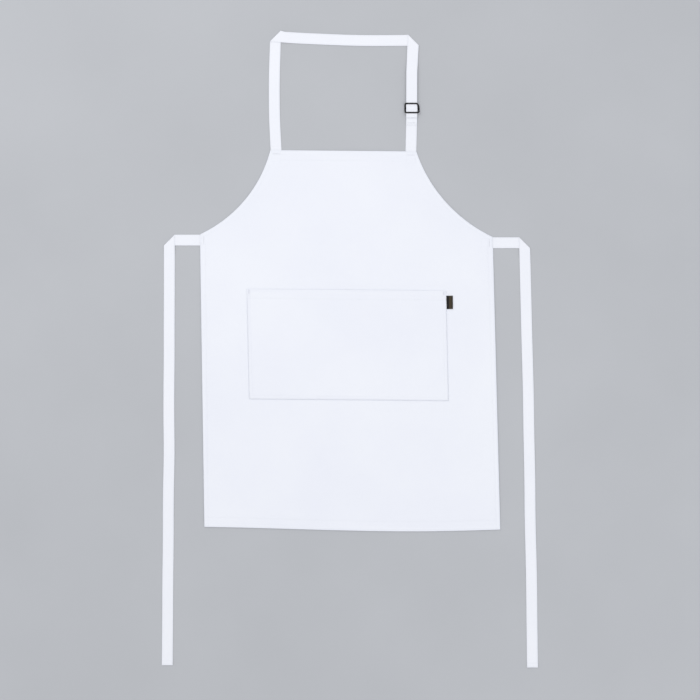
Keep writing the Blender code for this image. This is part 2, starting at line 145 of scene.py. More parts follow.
def armhole_points(side):
    """The panel's armhole, from the bib's corner down to the waist."""
    points = [p for p in outline("body_panel") if p.y > 0 and p.x * side > 0]
    return sorted(points, key=lambda p: -p.y)


ARMHOLE = {-1: armhole_points(-1), 1: armhole_points(1)}
BOTTOM = [p for p in outline("body_panel") if p.y < 0]
SKIRT_LENGTH = (ARMHOLE[-1][-1] - BOTTOM[0]).length
SKIRT_WIDTH = (BOTTOM[-1] - BOTTOM[0]).length


def panel_point(u, v):
    """A point of the panel. u runs from left to right; v is 0 at the bib, 1 at the waist, 2 at the hem."""
    if v <= 1:
        return through(ARMHOLE[-1], v).lerp(through(ARMHOLE[1], v), u)
    waist = ARMHOLE[-1][-1].lerp(ARMHOLE[1][-1], u)
    return waist.lerp(through(BOTTOM, u), v - 1)


HALVINGS = 30


def panel_row_at(y):
    """The v of the bib row whose left end is at height y."""
    low, high = 0.0, 1.0
    for _ in range(HALVINGS):
        v = (low + high) / 2
        if through(ARMHOLE[-1], v).y > y:
            low = v
        else:
            high = v
    return low


# ---- how the soft cloth lies


SWELL = 1.5 * MM
RIPPLE = 0.22 * MM
# Waves per metre across and along the cloth, and a place in the noise.
BROAD_WAVES = (3.0, 2.2, 4.0)
FINER_WAVES = (9.0, 6.0, 9.0)
RIPPLE_WAVES = (26.0, 15.0, 2.0)
BROAD_SHARE, FINER_SHARE = 0.35, 0.12
CALM_RADIUS = 42 * MM
CALM_FADE = 60 * MM
CALM_SPOTS = [pivot("tie_left_fold").xy, pivot("tie_right_fold").xy, ARMHOLE[-1][0], ARMHOLE[1][0]]


def calm(x, y):
    """0 at the roots of the straps and ties, which lie still, and 1 away from them."""
    share = 1.0
    for spot in CALM_SPOTS:
        share *= smooth((((x - spot.x) ** 2 + (y - spot.y) ** 2) ** 0.5 - CALM_RADIUS) / CALM_FADE)
    return share


def waves(x, y, spread):
    across, along, place = spread
    return noise.noise(Vector((x * across, y * along, place)))


def rise(x, y):
    """How far the cloth stands off the surface: broad low swells with a finer ripple on them."""
    swell = 0.5 + BROAD_SHARE * waves(x, y, BROAD_WAVES) + FINER_SHARE * waves(x, y, FINER_WAVES)
    ripple = 0.5 + 0.5 * waves(x, y, RIPPLE_WAVES)
    return (SWELL * swell**2 + RIPPLE * ripple) * calm(x, y)


# ---- meshes


def add_object(name, data):
    thing = bpy.data.objects.new(name, data)
    bpy.context.scene.collection.objects.link(thing)
    return thing


def new_piece(name, points, faces, cloth, slot):
    """A mesh with its material. cloth holds each point's place across and along the weave, in
    metres, and how near it is to an edge, from 0 to 1."""
    mesh = bpy.data.meshes.new(name)
    mesh.from_pydata([tuple(p) for p in points], [], faces)
    attribute = mesh.attributes.new("cloth", "FLOAT_VECTOR", "POINT")
    attribute.data.foreach_set("vector", [number for place in cloth for number in place])
    mesh.shade_smooth()
    mesh.materials.append(MATERIALS[slot])
    piece = add_object(name, mesh)
    return piece


def grid_faces(rows, columns):
    faces = []
    for r in range(rows - 1):
        for c in range(columns - 1):
            first = r * columns + c
            faces.append((first, first + columns, first + columns + 1, first + 1))
    return faces


def tube_faces(first, rings, around, closed=False, flip=False):
    """The faces between rings of points, the first of which starts at this point."""
    faces = []
    for i in range(rings if closed else rings - 1):
        here, ahead = first + i * around, first + (i + 1) % rings * around
        for k in range(around):
            beside = (k + 1) % around
            a, b, c, d = here + k, here + beside, ahead + beside, ahead + k
            faces.append((a, d, c, b) if flip else (a, b, c, d))
    return faces


def keep_faces_flat(piece):
    """Shade each face by its own slope, so that thin edges and end faces don't tint the broad ones."""
    piece.modifiers.new("shading", "WEIGHTED_NORMAL").weight = 100


def cloth_sheet(name, grid, cloth, slot, thickness=CLOTH):
    """A sheet of cloth from a grid of points in the middle of its thickness."""
    points = [p for row in grid for p in row]
    places = [place for row in cloth for place in row]
    piece = new_piece(name, points, grid_faces(len(grid), len(grid[0])), places, slot)
    thicken = piece.modifiers.new("thickness", "SOLIDIFY")
    thicken.thickness = thickness
    thicken.offset = 0.0
    keep_faces_flat(piece)
    return piece


WRAP_STEPS = 6
RETURN_STEPS = 5


def turned_edge(name, pairs, high, low, slot, lift=rise):
    """A hem: cloth that goes round its fold at the edge and back underneath. Each pair is a point
    of the edge and the inner end of the turned part."""
    radius = (high - low) / 2
    grid, cloth = [], []
    along, previous = 0.0, pairs[0][0]
    for edge, inner in pairs:
        along += (edge - previous).length
        previous = edge
        out = (edge - inner).normalized()
        row, places = [], []
        for angle in even(0.0, pi, WRAP_STEPS):
            place = edge + out * (radius * sin(angle))
            row.append(Vector((place.x, place.y, low + radius * (1 + cos(angle)) + lift(edge.x, edge.y))))
            places.append((radius * angle, along, 1.0))
        for share in even(0.0, 1.0, RETURN_STEPS)[1:]:
            place = edge.lerp(inner, share)
            row.append(Vector((place.x, place.y, low + lift(place.x, place.y))))
            distance = share * (inner - edge).length
            places.append((radius * pi + distance, along, exp(-distance / EDGE_FADE)))
        grid.append(row)
        cloth.append(places)
    return cloth_sheet(name, grid, cloth, slot)


# ---- stitches


THREAD = 0.38 * MM
STITCH_PITCH = 3.0 * MM
STITCH_LENGTH = 2.35 * MM
STITCH_SIDES = 6
# Rings along one stitch: how far along it, how thick, and how far out of the cloth, both in threads.
STITCH_END = (0.30, -0.35)
STITCH_SHOULDER = (0.85, 0.10)
STITCH_SHAPE = (
    (0.0, *STITCH_END), (0.16, *STITCH_SHOULDER), (0.5, 1.0, 0.30),
    (0.84, *STITCH_SHOULDER), (1.0, *STITCH_END),
)
BARTACK_PITCH = 0.85 * THREAD
BARTACK_LEAN = 0.5


def add_stitch(points, faces, cloth, start, end, out):
    """One raised stitch, a short tube whose ends dive into the cloth."""
    first = len(points)
    along = end - start
    aside = along.cross(out).normalized()
    for share, fatness, height in STITCH_SHAPE:
        centre = start.lerp(end, share) + out * (height * THREAD)
        for k in range(STITCH_SIDES):
            angle = 2 * pi * k / STITCH_SIDES
            around = aside * cos(angle) + out * sin(angle)
            points.append(centre + around * (fatness * THREAD / 2))
            cloth.append((k * THREAD / 2, share * along.length, 0.0))
    faces += tube_faces(first, len(STITCH_SHAPE), STITCH_SIDES)
    last = first + (len(STITCH_SHAPE) - 1) * STITCH_SIDES
    faces.append(tuple(range(first + STITCH_SIDES - 1, first - 1, -1)))
    faces.append(tuple(range(last, last + STITCH_SIDES)))


def add_seam(points, faces, cloth, line, out):
    """Stitches along a line of points, one after another."""
    lengths = [0.0]
    for a, b in zip(line, line[1:]):
        lengths.append(lengths[-1] + (b - a).length)
    spot = 0

    def at(distance):
        nonlocal spot
        while spot < len(line) - 2 and lengths[spot + 1] < distance:
            spot += 1
        span = lengths[spot + 1] - lengths[spot]
        return line[spot].lerp(line[spot + 1], (distance - lengths[spot]) / span)

    for i in range(int(lengths[-1] / STITCH_PITCH)):
        start = at(i * STITCH_PITCH + STITCH_PITCH - STITCH_LENGTH)
        add_stitch(points, faces, cloth, start, at((i + 1) * STITCH_PITCH), out)


def seams(name, lines, body):
    """One piece of stitch rows. Each line is its points and the way out of the cloth."""
    points, faces, cloth = [], [], []
    for line, out in lines:
        add_seam(points, faces, cloth, line, out)
    piece = new_piece(name, points, faces, cloth, "thread")
    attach(piece, body)
    return piece


def bartack(node, body):
    """A short bar of close zigzag stitches."""
    low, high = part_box(node)
    size = high - low
    centre = (low + high) / 2
    long_way, short_way = (0, 1) if size.x > size.y else (1, 0)
    lift = rise(centre.x, centre.y) if body == "apron" else 0.0
    base = low.z - (LAYER - CLOTH) + lift
    count = round(size[long_way] / BARTACK_PITCH)
    points, faces, cloth = [], [], []
    for i in range(count):
        ends = []
        for side, lean in ((-1, 0.0), (1, BARTACK_LEAN if i % 2 else -BARTACK_LEAN)):
            end = Vector((0, 0, base))
            end[long_way] = low[long_way] + size[long_way] * (i + 0.5 + lean) / count
            end[short_way] = centre[short_way] + side * size[short_way] / 2
            ends.append(end)
        add_stitch(points, faces, cloth, ends[0], ends[1], UP)
    piece = new_piece(f"{node}_stitches", points, faces, cloth, "thread")
    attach(piece, body)
    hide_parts(node)


# ---- materials


def srgb(red, green, blue):
    """A colour given in screen values, 0 to 255, as the shader's linear values."""
    shares = [value / 255 for value in (red, green, blue)]
    return [s / 12.92 if s <= 0.04045 else ((s + 0.055) / 1.055) ** 2.4 for s in shares] + [1.0]


def new_material(name, roughness, metallic=0.0, sheen=0.0):
    material = bpy.data.materials.new(name)
    material.use_nodes = True
    shader = material.node_tree.nodes["Principled BSDF"]
    shader.inputs["Roughness"].default_value = roughness
    shader.inputs["Metallic"].default_value = metallic
    shader.inputs["Sheen Weight"].default_value = sheen
    shader.inputs["Sheen Roughness"].default_value = 0.45
    shader.inputs["Specular IOR Level"].default_value = 0.5 if metallic else 0.25
    return material, material.node_tree, shader


def weave_place(tree):
    """The place across and along the weave, and separately how near an edge it is."""
    attribute = tree.nodes.new("ShaderNodeAttribute")
    attribute.attribute_name = "cloth"
    parts = tree.nodes.new("ShaderNodeSeparateXYZ")
    tree.links.new(attribute.outputs["Vector"], parts.inputs["Vector"])
    return attribute.outputs["Vector"], parts.outputs


def bands(tree, place, pitch, angle, distortion=0.0):
    """Parallel ridges with this pitch, in metres, turned by this angle."""
    turn = tree.nodes.new("ShaderNodeMapping")
    turn.inputs["Rotation"].default_value[2] = angle
    turn.inputs["Scale"].default_value = (1.0, 1.0, 0.0)
    wave = tree.nodes.new("ShaderNodeTexWave")
    # At a scale of 1, this texture repeats every 2 pi / 20.
    wave.inputs["Scale"].default_value = 2 * pi / (20 * pitch)
    wave.inputs["Distortion"].default_value = distortion
    wave.inputs["Detail"].default_value = 1.0
    tree.links.new(place, turn.inputs["Vector"])
    tree.links.new(turn.outputs["Vector"], wave.inputs["Vector"])
    return wave.outputs["Fac"]


def noise_field(tree, place, scale, detail=3.0):
    field = tree.nodes.new("ShaderNodeTexNoise")
    field.inputs["Scale"].default_value = scale
    field.inputs["Detail"].default_value = detail
    tree.links.new(place, field.inputs["Vector"])
    return field.outputs["Fac"]


def calculate(tree, operation, first, second):
    step = tree.nodes.new("ShaderNodeMath")
    step.operation = operation
    for socket, value in zip(step.inputs, (first, second)):
        if isinstance(value, float):
            socket.default_value = value
        else:
            tree.links.new(value, socket)
    return step.outputs["Value"]


def multiply(tree, first, second):
    return calculate(tree, "MULTIPLY", first, second)


def ramp(tree, field, stops):
    """Colours or greys at places from 0 to 1 along a field."""
    node = tree.nodes.new("ShaderNodeValToRGB")
    elements = node.color_ramp.elements
    while len(elements) < len(stops):
        elements.new(0.5)
    for element, (place, colour) in zip(elements, stops):
        element.position = place
        element.color = colour if isinstance(colour, (list, tuple)) else (colour, colour, colour, 1.0)
    tree.links.new(field, node.inputs["Fac"])
    return node.outputs["Color"]


def blend_colours(tree, factor, first, second, mode="MIX"):
    node = tree.nodes.new("ShaderNodeMix")
    node.data_type = "RGBA"
    node.blend_type = mode
    if isinstance(factor, float):
        node.inputs[0].default_value = factor
    else:
        tree.links.new(factor, node.inputs[0])
    for socket, value in ((node.inputs[6], first), (node.inputs[7], second)):
        if isinstance(value, (list, tuple)):
            socket.default_value = value
        else:
            tree.links.new(value, socket)
    return node.outputs[2]


def set_surface(tree, shader, colour, roughness, height, strength, distance):
    """The colour and the roughness, and a relief with this height field, strength and depth."""
    tree.links.new(colour, shader.inputs["Base Color"])
    tree.links.new(roughness, shader.inputs["Roughness"])
    bump = tree.nodes.new("ShaderNodeBump")
    bump.inputs["Strength"].default_value = strength
    bump.inputs["Distance"].default_value = distance
    tree.links.new(height, bump.inputs["Height"])
    tree.links.new(bump.outputs["Normal"], shader.inputs["Normal"])


def woven_material(name, light, dark, worn, wale, wale_angle, yarn, sheen):
    """White cotton cloth: diagonal wales over fine yarns, soft blotches and slightly grey edges."""
    material, tree, shader = new_material(name, 0.85, sheen=sheen)
    place, parts = weave_place(tree)
    ridges = bands(tree, place, wale, wale_angle, 0.6)
    yarns = multiply(tree, bands(tree, place, yarn, 0.0, 0.8), bands(tree, place, yarn, pi / 2, 0.8))
    fuzz = noise_field(tree, place, 1500.0)
    weave = calculate(tree, "ADD", multiply(tree, ridges, 0.6), multiply(tree, yarns, 0.4))
    height = calculate(tree, "ADD", weave, multiply(tree, fuzz, 0.5))
    blotches = ramp(tree, noise_field(tree, place, 4.0, 5.0), [(0.3, dark), (0.7, light)])
    shaded = blend_colours(tree, 0.35, blotches, ramp(tree, weave, [(0.0, 0.86), (0.6, 1.0)]), "MULTIPLY")
    patchy = ramp(tree, noise_field(tree, place, 60.0), [(0.3, 0.1), (0.7, 0.6)])
    edges = multiply(tree, parts["Z"], patchy)
    colour = blend_colours(tree, edges, shaded, worn)
    roughness = ramp(tree, fuzz, [(0.3, 0.78), (0.7, 0.94)])
    set_surface(tree, shader, colour, roughness, height, 0.35, 0.25 * MM)
    return material


def thread_material():
    """Sewing thread: a fine twist across each stitch, with painted shade in the hollows of the twist, and
    lint.
    """
    material, tree, shader = new_material("thread", 0.6, sheen=0.15)
    place, _ = weave_place(tree)
    twist = bands(tree, place, 0.35 * MM, pi / 4)
    where = tree.nodes.new("ShaderNodeTexCoord").outputs["Object"]
    lint = noise_field(tree, where, 500.0)
    colour = ramp(tree, lint, [(0.3, srgb(228, 230, 238)), (0.7, srgb(243, 245, 250))])
    # Painted shade: the thread is darker in the hollows of its twist.
    twist_shaded = blend_colours(tree, 0.4, colour, ramp(tree, twist, [(0.0, 0.8), (0.7, 1.0)]), "MULTIPLY")
    roughness = ramp(tree, lint, [(0.3, 0.5), (0.7, 0.72)])
    set_surface(tree, shader, twist_shaded, roughness, twist, 0.5, 0.1 * MM)
    return material


def slider_material():
    """Blackened metal, rubbed through to a duller grey along its edges."""
    material, tree, shader = new_material("slider", 0.35, metallic=0.9)
    _, parts = weave_place(tree)
    where = tree.nodes.new("ShaderNodeTexCoord").outputs["Object"]
    patches = noise_field(tree, where, 260.0, 4.0)
    grain = noise_field(tree, where, 2600.0)
    black = ramp(tree, patches, [(0.3, (0.007, 0.006, 0.006, 1.0)), (0.7, (0.016, 0.014, 0.013, 1.0))])
    rubbed = multiply(tree, parts["Z"], ramp(tree, patches, [(0.48, 0.0), (0.66, 0.7)]))
    colour = blend_colours(tree, rubbed, black, (0.14, 0.13, 0.12, 1.0))
    roughness = ramp(tree, grain, [(0.25, 0.28), (0.75, 0.50)])
    set_surface(tree, shader, colour, roughness, grain, 0.2, 0.05 * MM)
    return material


def label_material():
    """Woven black label with a plain olive-brown stripe along it, in fine weft ribs. Painted shade darkens
    the stripe towards the fold and fills the hollows between the ribs.
    """
    material, tree, shader = new_material("label", 0.7, sheen=0.2)
    place, parts = weave_place(tree)
    share = calculate(tree, "DIVIDE", parts["X"], LABEL_WIDTH)
    black, olive = srgb(27, 25, 24), srgb(72, 62, 46)
    # Painted shade: the stripe darkens towards the fold, where the label turns under.
    fold_shade_olive, fold_shade_dark = srgb(60, 53, 42), srgb(40, 36, 30)
    stripe = ramp(tree, share, [(0.36, black), (0.46, olive), (0.86, fold_shade_olive), (0.94, fold_shade_dark)])
    ribs = bands(tree, place, 0.42 * MM, pi / 2, 0.4)
    warp = bands(tree, place, 0.30 * MM, 0.0, 0.4)
    weave = calculate(tree, "ADD", ribs, multiply(tree, warp, 0.4))
    # Painted shade: the colour is darker in the hollows between the ribs.
    rib_shaded = blend_colours(tree, 0.6, stripe, ramp(tree, ribs, [(0.0, 0.6), (0.8, 1.0)]), "MULTIPLY")
    roughness = ramp(tree, noise_field(tree, place, 900.0), [(0.3, 0.6), (0.7, 0.85)])
    set_surface(tree, shader, rib_shaded, roughness, weave, 0.5, 0.12 * MM)
    return material


def floor_material():
    """A plain pale matt floor with a barely visible grain."""
    material, tree, shader = new_material("floor", 0.9)
    where = tree.nodes.new("ShaderNodeTexCoord").outputs["Object"]
    grain = noise_field(tree, where, 3.0, 4.0)
    colour = ramp(tree, grain, [(0.3, srgb(186, 188, 192)), (0.7, srgb(190, 192, 196))])
    tree.links.new(colour, shader.inputs["Base Color"])
    return material


LABEL_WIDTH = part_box("side_label")[1].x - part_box("side_label")[0].x
EDGE_FADE = 2.5 * MM
TWILL_LOOK = {
    "light": srgb(244, 246, 252), "dark": srgb(240, 242, 250), "worn": srgb(236, 239, 247),
    "wale": 0.95 * MM, "wale_angle": 1.1, "yarn": 0.42 * MM, "sheen": 0.12,
}
TAPE_LOOK = {
    "light": srgb(246, 247, 252), "dark": srgb(241, 243, 250), "worn": srgb(224, 227, 236),
    "wale": 1.5 * MM, "wale_angle": 0.75, "yarn": 0.5 * MM, "sheen": 0.12,
}
MATERIALS = {
    "twill": woven_material("twill", **TWILL_LOOK),
    "tape": woven_material("tape", **TAPE_LOOK),
    "thread": thread_material(),
    "slider": slider_material(),
    "label": label_material(),
}


# ---- body panel and its hems


BIB_SEAM = 23.0 * MM
BOTTOM_SEAM = 22.0 * MM
SIDE_SEAM = 12.0 * MM
ARMHOLE_SEAM = 8.0 * MM
ARMHOLE_SEAM_END = 0.96
ARMHOLE_STEP = 0.01
LEAST_SLOPE = 0.05
PAST_SEAM = 2.0 * MM
SEAM_HALF = 1.6 * MM
CLEAR_OF_SEAM = 1.5
GROOVE = 0.28 * MM
CORNER_INSET = 1.0 * MM
SINK = 0.6 * MM
SINK_START = 16.0 * MM
SINK_FADE = 22.0 * MM
GRID_STEP = 6.0 * MM
# How many steps the hems and the rows of stitches are cut into along their length.
BIB_STEPS, SIDE_STEPS, BOTTOM_STEPS = 60, 110, 118
SEAM_STEPS, LONG_SEAM_STEPS = 100, 200
BIB_TOP_Y = through(ARMHOLE[-1], 0.0).y


def pocket_share(x, y):
    """1 under the pocket, falling to 0 a little way outside it."""
    low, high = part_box("pocket_panel")
    outside = max(low.x - x, x - high.x, low.y - y, y - high.y)
    return 1 - smooth((outside - SIDE_SEAM) / SINK_FADE)


def from_panel_edges(u, v):
    """How far a point of the panel is from its nearer side, from its bottom and from its top."""
    width = (panel_point(1, v) - panel_point(0, v)).length
    from_top = (panel_point(u, 0) - panel_point(u, v)).length
    return min(u, 1 - u) * width, (2 - v) * SKIRT_LENGTH, from_top


def sink(u, v, x, y):
    """Inside its hems the single cloth drops towards the surface."""
    from_side, from_bottom, from_top = from_panel_edges(u, v)
    nearest = min(from_side, from_bottom - (BOTTOM_SEAM - SIDE_SEAM), from_top - (BIB_SEAM - SIDE_SEAM))
    return SINK * smooth((nearest - SINK_START) / SINK_FADE) * calm(x, y) * (1 - pocket_share(x, y))


def groove(u, v):
    """The shallow valley that a seam pulls into the cloth."""
    _, from_bottom, from_top = from_panel_edges(u, v)
    from_seam = [abs(from_bottom - BOTTOM_SEAM), abs(from_top - BIB_SEAM)]
    if v >= 1:
        from_seam.append(abs(min(u, 1 - u) * SKIRT_WIDTH - SIDE_SEAM))
    return GROOVE * (1 - smooth(min(from_seam) / SEAM_HALF))


def on_panel(u, v, offset=0.0):
    """A point on the panel, raised from the middle of its thickness by offset."""
    x, y = panel_point(u, v)
    return Vector((x, y, PANEL_Z + offset + rise(x, y) - sink(u, v, x, y) - groove(u, v)))


def with_seam(values, seam, half):
    """Grid values with three more round a seam, and without the ones too close to it."""
    kept = [value for value in values if abs(value - seam) > CLEAR_OF_SEAM * half]
    return sorted(kept + [seam - half, seam, seam + half])


def twill_sheet(name, rows, columns, on_sheet, flat_point, from_edges, node):
    """A sheet of twill, given as functions of u and v, that lies still on the apron."""
    grid = [[on_sheet(u, v) for u in columns] for v in rows]
    cloth = []
    for v in rows:
        cloth.append([(*flat_point(u, v), exp(-min(from_edges(u, v)) / EDGE_FADE)) for u in columns])
    piece = cloth_sheet(name, grid, cloth, "twill")
    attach(piece, "apron")
    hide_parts(node)
    return piece


def make_panel():
    columns = even(0.0, 1.0, round(SKIRT_WIDTH / GRID_STEP))
    half = SEAM_HALF / SKIRT_WIDTH
    for seam in (SIDE_SEAM / SKIRT_WIDTH, 1 - SIDE_SEAM / SKIRT_WIDTH):
        columns = with_seam(columns, seam, half)
    skirt_steps = round(SKIRT_LENGTH / GRID_STEP)
    # The short bib takes a third as many rows as the skirt.
    rows = even(0.0, 1.0, skirt_steps // 3) + even(1.0, 2.0, skirt_steps)[1:]
    rows = with_seam(rows, 2 - BOTTOM_SEAM / SKIRT_LENGTH, SEAM_HALF / SKIRT_LENGTH)
    bib_seam = panel_row_at(BIB_TOP_Y - BIB_SEAM)
    rows = with_seam(rows, bib_seam, bib_seam * SEAM_HALF / BIB_SEAM)
    node = "body_panel"
    return twill_sheet("panel_cloth", rows, columns, on_panel, panel_point, from_panel_edges, node)


def inward_at(side, v):
    """Into the cloth, square to the armhole's edge."""
    behind, ahead = max(v - ARMHOLE_STEP, 0.0), min(v + ARMHOLE_STEP, 1.0)
    along = through(ARMHOLE[side], ahead) - through(ARMHOLE[side], behind)
    return Vector((along.y * side, -along.x * side)).normalized()


def hem_piece(name, pairs, node, high=PANEL_Z, low=HEM_Z):
    piece = turned_edge(name, pairs, high, low, "twill")
    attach(piece, "apron")
    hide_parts(node)
    return piece


def make_hems():
    pieces = []
    low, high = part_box("bib_hem")
    depth = high.y - low.y
    span = panel_point(1, 0) - panel_point(0, 0)
    ends = [(x - panel_point(0, 0).x) / span.x for x in (low.x, high.x)]
    pairs = [(panel_point(u, 0), panel_point(u, 0) - Vector((0, depth))) for u in even(*ends, BIB_STEPS)]
    pieces.append(hem_piece("bib_hem_fold", pairs, "bib_hem"))
    inset = CORNER_INSET / SKIRT_WIDTH
    depth = Vector((0, BOTTOM_SEAM + PAST_SEAM))
    edge = [panel_point(u, 2) for u in even(inset, 1 - inset, BOTTOM_STEPS)]
    pairs = [(point, point + depth) for point in edge]
    pieces.append(hem_piece("bottom_hem_fold", pairs, "bottom_hem"))
    for side, word in ((-1, "left"), (1, "right")):
        pieces.append(make_armhole_hem(side, word))
        pieces.append(make_side_hem(side, word))
    return pieces


def make_armhole_hem(side, word):
    """It is full width between the sewn ends of the strap and the tie, and a bare fold beside them."""
    strap_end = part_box(f"armhole_hem_{word}")[1].y
    full, bare = ARMHOLE_SEAM + PAST_SEAM, 0.4 * MM
    tie_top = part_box(f"waist_tie_{word}_sewn_end")[1].y
    pairs = []
    for v in even(0.0, 1.0, BIB_STEPS):
        edge = through(ARMHOLE[side], v)
        room = (edge.y - tie_top) / max(-inward_at(side, v).y, LEAST_SLOPE)
        width = bare if edge.y > strap_end else max(bare, min(full, room))
        pairs.append((edge, edge + inward_at(side, v) * width))
    return hem_piece(f"armhole_hem_fold_{word}", pairs, f"armhole_hem_{word}")


def make_side_hem(side, word):
    """It runs down to the corner, but its turned part ends above the bottom hem."""
    low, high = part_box(f"side_hem_{word}")
    waist, corner = ARMHOLE[side][-1], BOTTOM[0 if side < 0 else -1]
    full, bare = SIDE_SEAM + PAST_SEAM, 0.8 * MM
    pairs = []
    for share in even((waist.y - high.y) / (waist.y - corner.y), 1.0, SIDE_STEPS):
        edge = waist.lerp(corner, share)
        pairs.append((edge, edge - Vector((side * (full if edge.y > low.y else bare), 0))))
    return hem_piece(f"side_hem_fold_{word}", pairs, f"side_hem_{word}")


def panel_seam_lines():
    """Every row of stitches on the panel, seen from the front, as lists of (u, v)."""
    side_share = SIDE_SEAM / SKIRT_WIDTH
    bottom_v = 2 - BOTTOM_SEAM / SKIRT_LENGTH
    bib_v = panel_row_at(BIB_TOP_Y - BIB_SEAM)
    strap_share = (TAPE + PAST_SEAM) / (panel_point(1, 0) - panel_point(0, 0)).length
    below_tie = even(1.0 + TAPE / SKIRT_LENGTH, 2.0, LONG_SEAM_STEPS)
    return [
        [(u, bottom_v) for u in even(side_share, 1 - side_share, LONG_SEAM_STEPS)],
        [(u, bib_v) for u in even(strap_share, 1 - strap_share, SEAM_STEPS)],
        [(side_share, v) for v in below_tie],
        [(1 - side_share, v) for v in below_tie],
    ]


BOX_INSET = 3.0 * MM
BOX_STEPS = 8
SEWN_ENDS = ("neck_strap", "buckle_strap", "waist_tie_left", "waist_tie_right")


def sewn_box(node):
    """A rectangle of stitches that holds the end of a strap or tie."""
    low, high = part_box(node)
    left, right = low.x + BOX_INSET, high.x - BOX_INSET
    bottom, top = low.y + BOX_INSET, high.y - BOX_INSET
    places = ((left, bottom), (right, bottom), (right, top), (left, top), (left, bottom))
    corners = [Vector(place) for place in places]
    line = [a.lerp(b, i / BOX_STEPS) for a, b in zip(corners, corners[1:]) for i in range(BOX_STEPS)]
    return line + [corners[0]]


def make_panel_seams():
    front, back = [], []
    for line in panel_seam_lines():
        front.append(([on_panel(u, v, HALF_CLOTH) for u, v in line], UP))
        back.append(([on_panel(u, v, HEM_Z - PANEL_Z - HALF_CLOTH + GROOVE) for u, v in line], -UP))
    flat_lines = []
    for side, word in ((-1, "left"), (1, "right")):
        rows = even(panel_row_at(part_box(f"armhole_hem_{word}")[1].y), ARMHOLE_SEAM_END, SEAM_STEPS)
        flat_lines.append([through(ARMHOLE[side], v) + inward_at(side, v) * ARMHOLE_SEAM for v in rows])
    for tape_name in SEWN_ENDS:
        flat_lines.append(sewn_box(f"{tape_name}_sewn_end"))
    for line in flat_lines:
        front.append(([Vector((p.x, p.y, PANEL_Z + HALF_CLOTH + rise(*p))) for p in line], UP))
        back.append(([Vector((p.x, p.y, HEM_Z - HALF_CLOTH + rise(*p))) for p in line], -UP))
    seams("panel_seams_front", front, "apron")
    seams("panel_seams_back", back, "apron")


# ---- pocket and label


POCKET_BULGE = 0.7 * MM
PUFF_ROUND, PUFF_FADE = 0.7, 0.6
POCKET_TURN = 10.0 * MM
POCKET_STEPS, POCKET_SIDE_STEPS = 90, 50
POCKET_ROWS = (2.0 * MM, 8.0 * MM)
POCKET_HEM_SEAM = 22.5 * MM


def pocket_corners():
    """The pocket's corners: low left, high left, low right, high right."""
    points = outline("pocket_panel")
    left, right = sorted(points[:2], key=lambda p: p.y), sorted(points[2:], key=lambda p: p.y)
    return left + right


POCKET_CORNERS = pocket_corners()
POCKET_WIDTH = (POCKET_CORNERS[2] - POCKET_CORNERS[0]).length
POCKET_HEIGHT = (POCKET_CORNERS[1] - POCKET_CORNERS[0]).length


def pocket_point(u, v):
    """A point of the pocket: u runs from left to right, and v from its mouth down to its bottom."""
    low_left, high_left, low_right, high_right = POCKET_CORNERS
    return high_left.lerp(low_left, v).lerp(high_right.lerp(low_right, v), u)


def puff_at_mouth(u):
    """How far the pocket stands off the panel at its mouth."""
    return POCKET_BULGE * sin(pi * min(max(u, 0.0), 1.0)) ** PUFF_ROUND


def from_pocket_edges(u, v):
    """How far a point of the pocket is from its nearer side, from its bottom and from its mouth."""
    return min(u, 1 - u) * POCKET_WIDTH, (1 - v) * POCKET_HEIGHT, v * POCKET_HEIGHT


def on_pocket(u, v, offset=0.0):
    x, y = pocket_point(u, v)
    puff = puff_at_mouth(u) * (1 - v) ** PUFF_FADE
    from_side, from_bottom, from_mouth = from_pocket_edges(u, v)
    row = POCKET_ROWS[0]
    seam = min(abs(from_side - row), abs(from_bottom - row), abs(from_mouth - POCKET_HEM_SEAM))
    return Vector((x, y, POCKET_Z + offset + rise(x, y) + puff - GROOVE * (1 - smooth(seam / SEAM_HALF))))


def make_pocket():
    columns = even(0.0, 1.0, round(POCKET_WIDTH / GRID_STEP))
    for share in (POCKET_ROWS[0] / POCKET_WIDTH, 1 - POCKET_ROWS[0] / POCKET_WIDTH):
        columns = with_seam(columns, share, SEAM_HALF / POCKET_WIDTH)
    rows = even(0.0, 1.0, round(POCKET_HEIGHT / GRID_STEP))
    for share in (POCKET_HEM_SEAM / POCKET_HEIGHT, 1 - POCKET_ROWS[0] / POCKET_HEIGHT):
        rows = with_seam(rows, share, SEAM_HALF / POCKET_HEIGHT)
    node = "pocket_panel"
    return twill_sheet("pocket_cloth", rows, columns, on_pocket, pocket_point, from_pocket_edges, node)


def make_pocket_folds():
    """The turned cloth behind the pocket's sides and bottom, and the hem behind its mouth."""
    side_u, low_v = POCKET_TURN / POCKET_WIDTH, POCKET_TURN / POCKET_HEIGHT
    hem_v = (POCKET_HEM_SEAM + PAST_SEAM) / POCKET_HEIGHT
    route = [(0, v) for v in even(hem_v, 1.0, POCKET_SIDE_STEPS)]
    route += [(u, 1) for u in even(0, 1, POCKET_STEPS)]
    route += [(1, v) for v in even(1.0, hem_v, POCKET_SIDE_STEPS)]
    pairs = []
    for u, v in route:
        inner = pocket_point(min(max(u, side_u), 1 - side_u), min(v, 1 - low_v))
        pairs.append((pocket_point(u, v), inner))
    edge = hem_piece("pocket_edge_fold", pairs, "pocket_turned_edge", POCKET_Z, POCKET_TURN_Z)

    def with_puff(x, y):
        return rise(x, y) + puff_at_mouth((x - POCKET_CORNERS[0].x) / POCKET_WIDTH)

    pairs = [(pocket_point(u, 0), pocket_point(u, hem_v)) for u in even(0.0, 1.0, POCKET_STEPS)]
    mouth = turned_edge("pocket_hem_fold", pairs, POCKET_Z, POCKET_TURN_Z, "twill", with_puff)
    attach(mouth, "apron")
    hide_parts("pocket_hem")
    return [edge, mouth]


